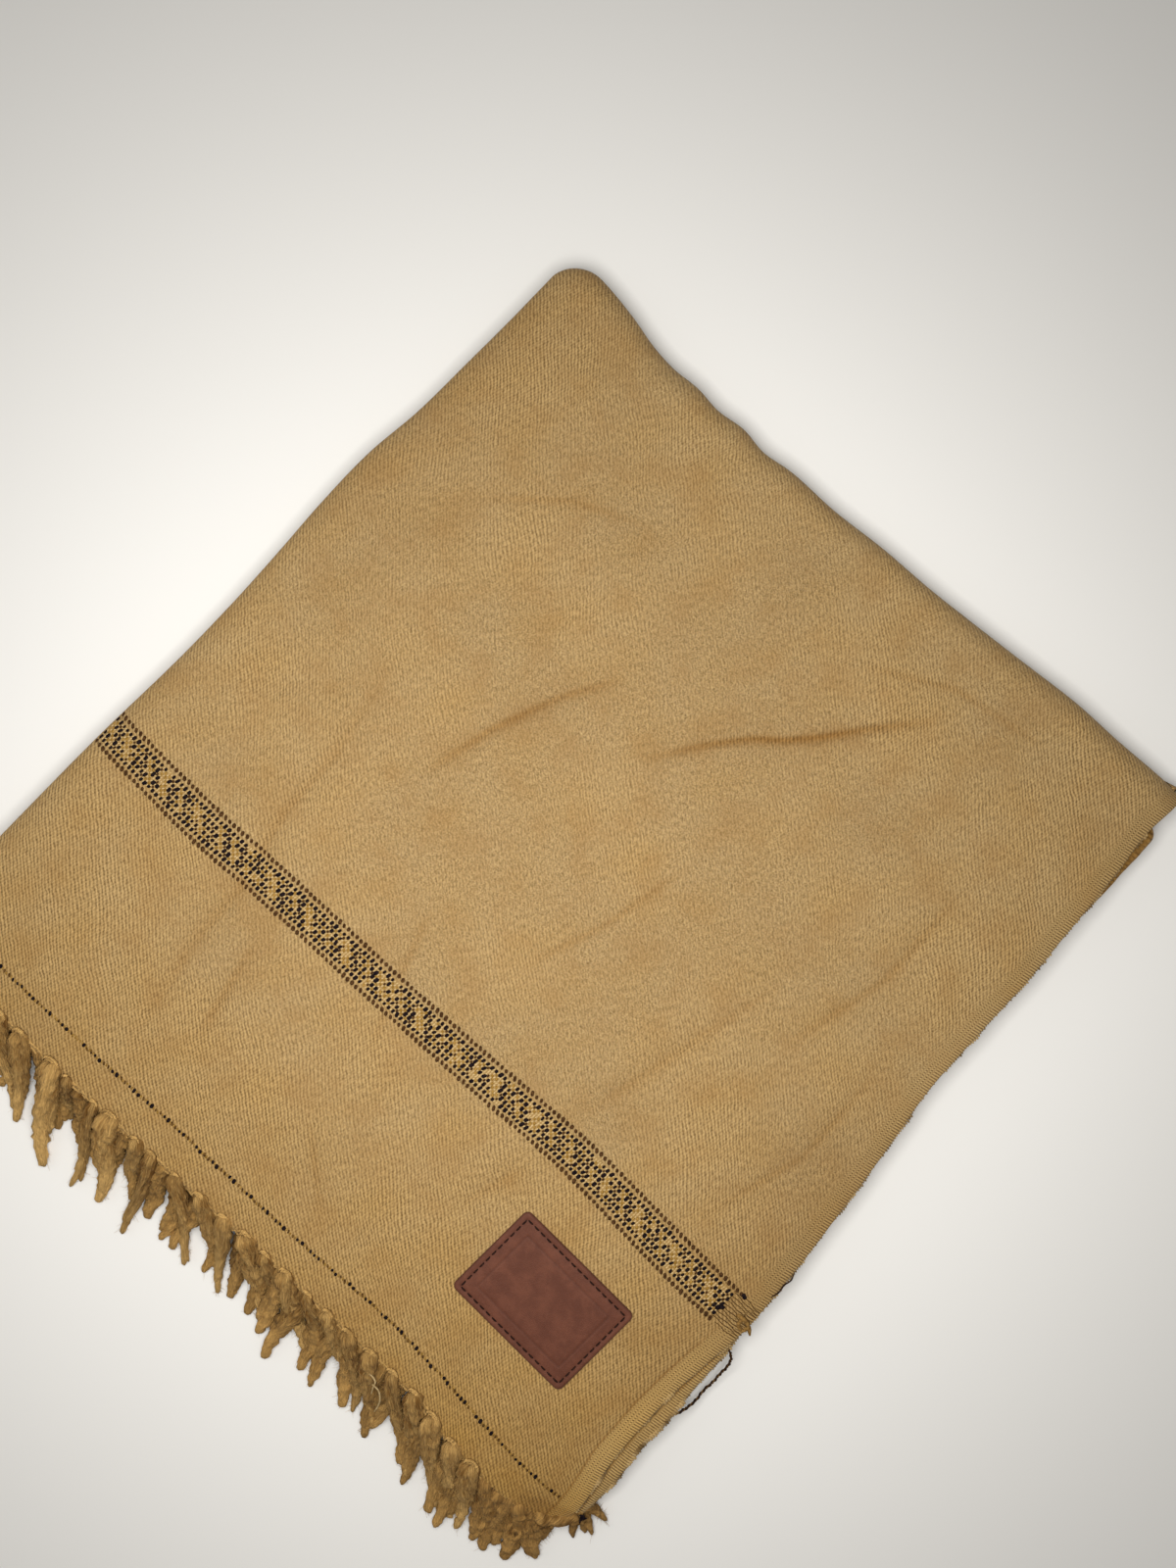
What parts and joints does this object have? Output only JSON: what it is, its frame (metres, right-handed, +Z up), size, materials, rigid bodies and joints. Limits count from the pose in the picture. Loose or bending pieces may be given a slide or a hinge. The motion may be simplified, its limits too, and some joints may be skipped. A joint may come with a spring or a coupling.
{
  "type": "folded wool shawl",
  "caption": "Camel wool twill shawl folded flat into a thick square, with a woven border, felted fringe along one end and a leather patch near a corner.",
  "frame": {"origin": "middle of the whole shawl's box, on the surface it lies on", "axes": "+X across the cloth, from the lengthwise fold to the selvedge; +Y along the cloth, from the fringed end to the cross fold; +Z up"},
  "size_m": [0.4466, 0.5046, 0.0267],
  "materials": {
    "wool_twill": "camel wool twill with a soft raised nap",
    "fringe_wool": "felted wool locks, matte",
    "leather": "reddish brown, matte, pressed and stitched"
  },
  "bodies": {
    "root": {"top_panel": "wool_twill", "under_layers": "wool_twill", "leather_patch": "leather", "fringe_top": "fringe_wool", "fringe_under": "fringe_wool"}
  },
  "joints": []
}
